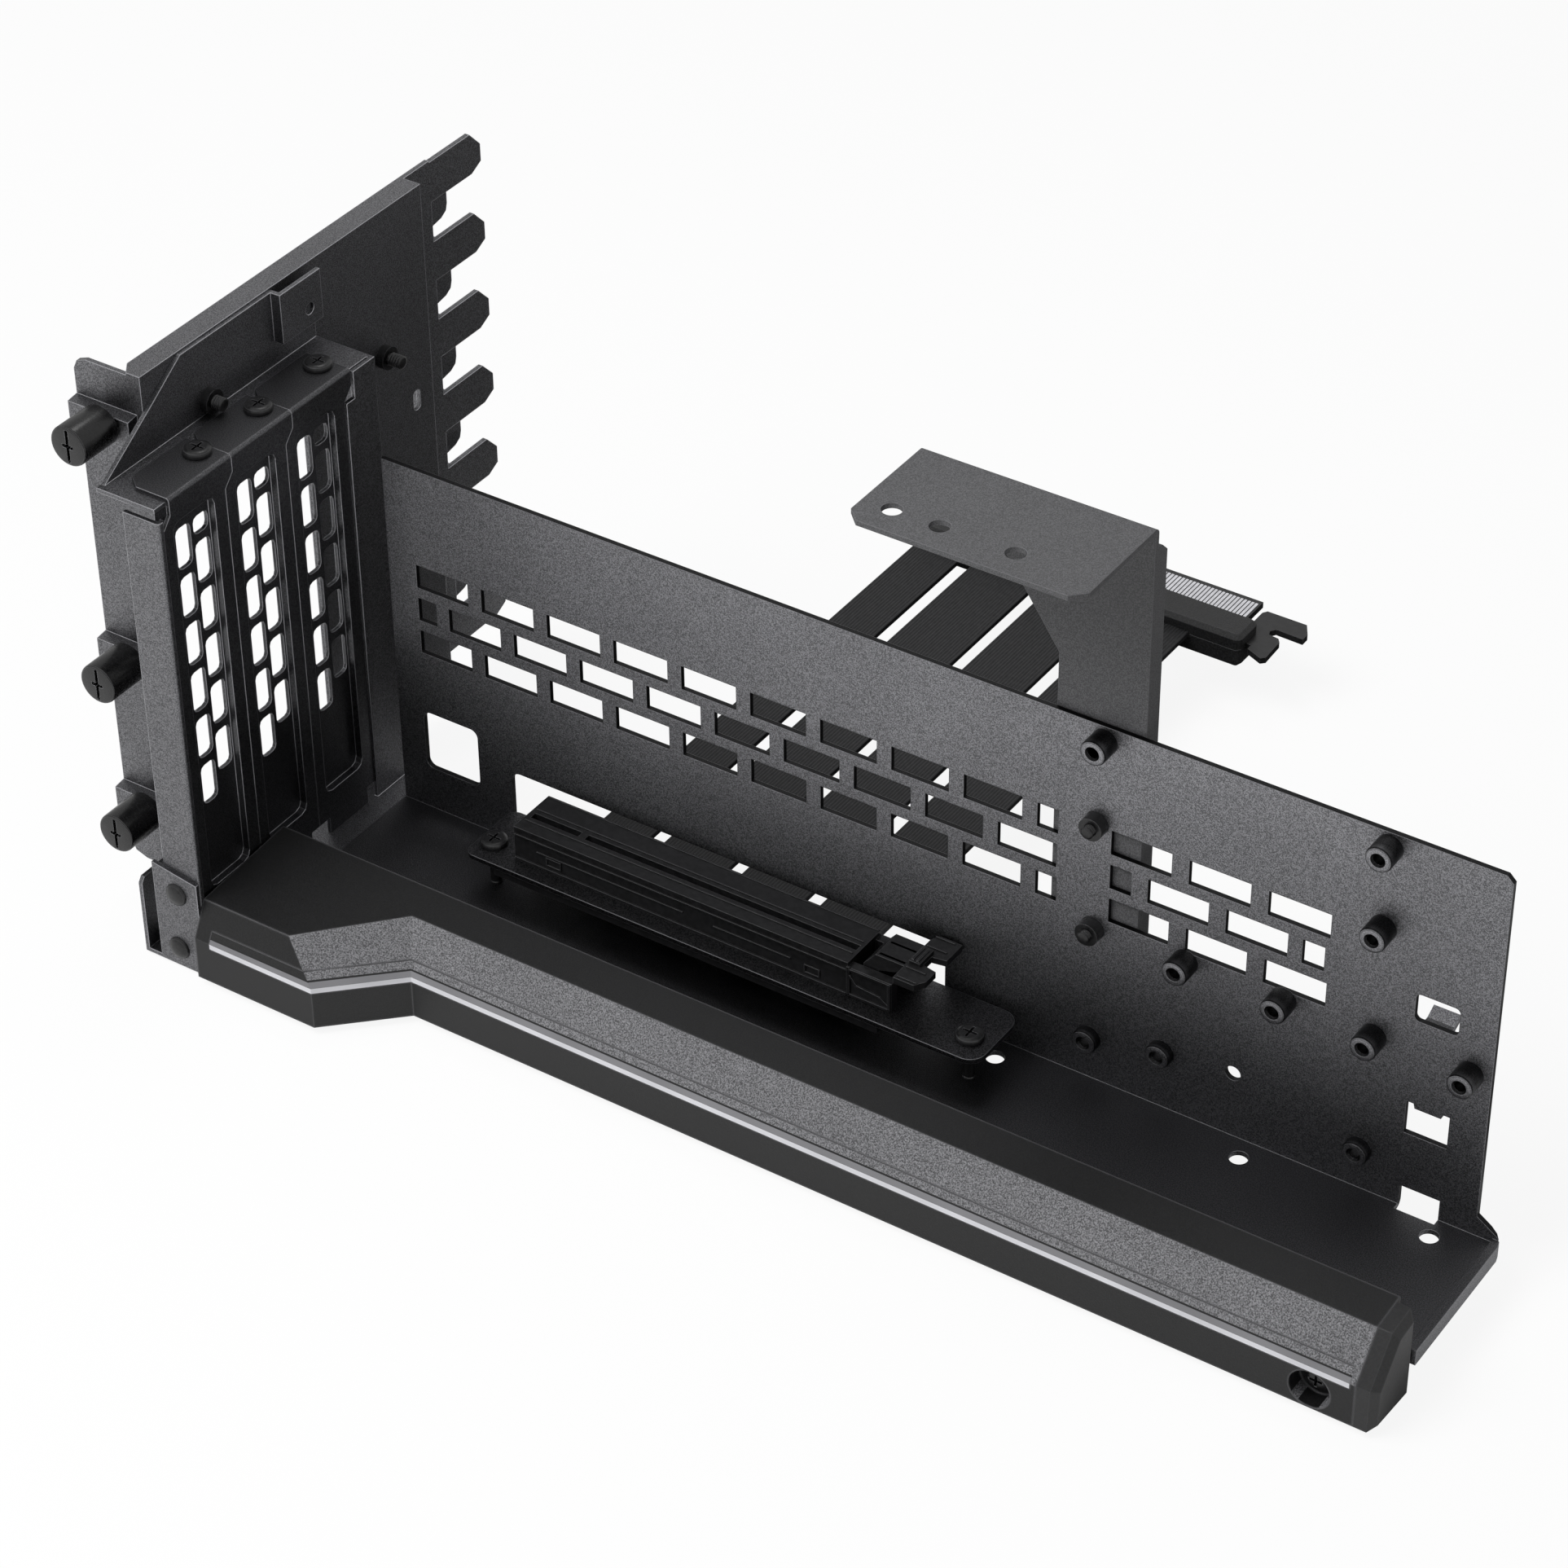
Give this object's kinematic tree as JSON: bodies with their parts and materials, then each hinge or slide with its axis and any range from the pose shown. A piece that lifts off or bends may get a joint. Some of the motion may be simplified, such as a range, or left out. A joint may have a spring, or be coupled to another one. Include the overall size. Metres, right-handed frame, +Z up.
{
  "type": "vertical card bracket",
  "caption": "Folded sheet-metal bracket that stands an expansion card upright, with slot covers, rear tongues, lit front trim and a riser cable.",
  "frame": {"origin": "on the axis of the floor hole nearest the tray's middle, at the floor's top face", "axes": "+X along the tray away from the card slots, +Y backwards through the panel, +Z up"},
  "size_m": [0.3195, 0.2326, 0.1527],
  "materials": {
    "dark_paint": "fine textured powder coat",
    "trim_coat": "grained",
    "trim_cap": "satin",
    "light_strip": "frosted",
    "black_steel": "blackened",
    "board": "lacquered",
    "slot_plastic": "satin",
    "contact_metal": "plated",
    "finger_metal": "plated",
    "ribbon": "satin",
    "plug_plastic": "grained"
  },
  "bodies": {
    "frame": {"tray": "dark_paint", "support_arm": "dark_paint", "slot_frame": "dark_paint", "slot_cover_1": "dark_paint", "slot_cover_2": "dark_paint", "slot_cover_3": "dark_paint", "rear_plate": "dark_paint", "corner_bracket": "dark_paint", "riser_base": "dark_paint", "front_trim": "trim_coat", "trim_end_cap": "trim_cap", "light_strip": "light_strip", "led_boards": "board", "trim_screw": "black_steel", "panel_standoffs": "black_steel", "arm_nuts": "black_steel", "arm_screws": "black_steel", "cover_screws": "black_steel", "frame_screws": "black_steel", "frame_nuts": "black_steel", "corner_rivets": "black_steel", "riser_posts": "black_steel", "riser_base_screws": "black_steel", "riser_board": "board", "riser_slot": "slot_plastic", "slot_contacts": "contact_metal", "ribbon_1": "ribbon", "ribbon_2": "ribbon", "ribbon_3": "ribbon", "ribbon_4": "ribbon", "plug_board": "board", "plug_shell_top": "plug_plastic", "plug_shell_bottom": "plug_plastic", "plug_fingers": "finger_metal"},
    "latch": {"slot_latch": "slot_plastic"},
    "thumb_1": {"thumb_screw_1": "black_steel"},
    "thumb_2": {"thumb_screw_2": "black_steel"},
    "thumb_3": {"thumb_screw_3": "black_steel"}
  },
  "joints": [
    {"name": "latch_hinge", "type": "hinge", "parent": "frame", "child": "latch", "pos_m": [-0.0267, -0.0048, 0.0129], "axis": [0, 1, 0], "range_deg": [0, 30]},
    {"name": "thumb_turn_1", "type": "hinge", "parent": "frame", "child": "thumb_1", "pos_m": [-0.1936, -0.0456, 0.1174], "axis": [0, 1, 0], "continuous": true},
    {"name": "thumb_turn_2", "type": "hinge", "parent": "frame", "child": "thumb_2", "pos_m": [-0.1936, -0.0456, 0.05644], "axis": [0, 1, 0], "continuous": true},
    {"name": "thumb_turn_3", "type": "hinge", "parent": "frame", "child": "thumb_3", "pos_m": [-0.1936, -0.0456, 0.0158], "axis": [0, 1, 0], "continuous": true}
  ]
}
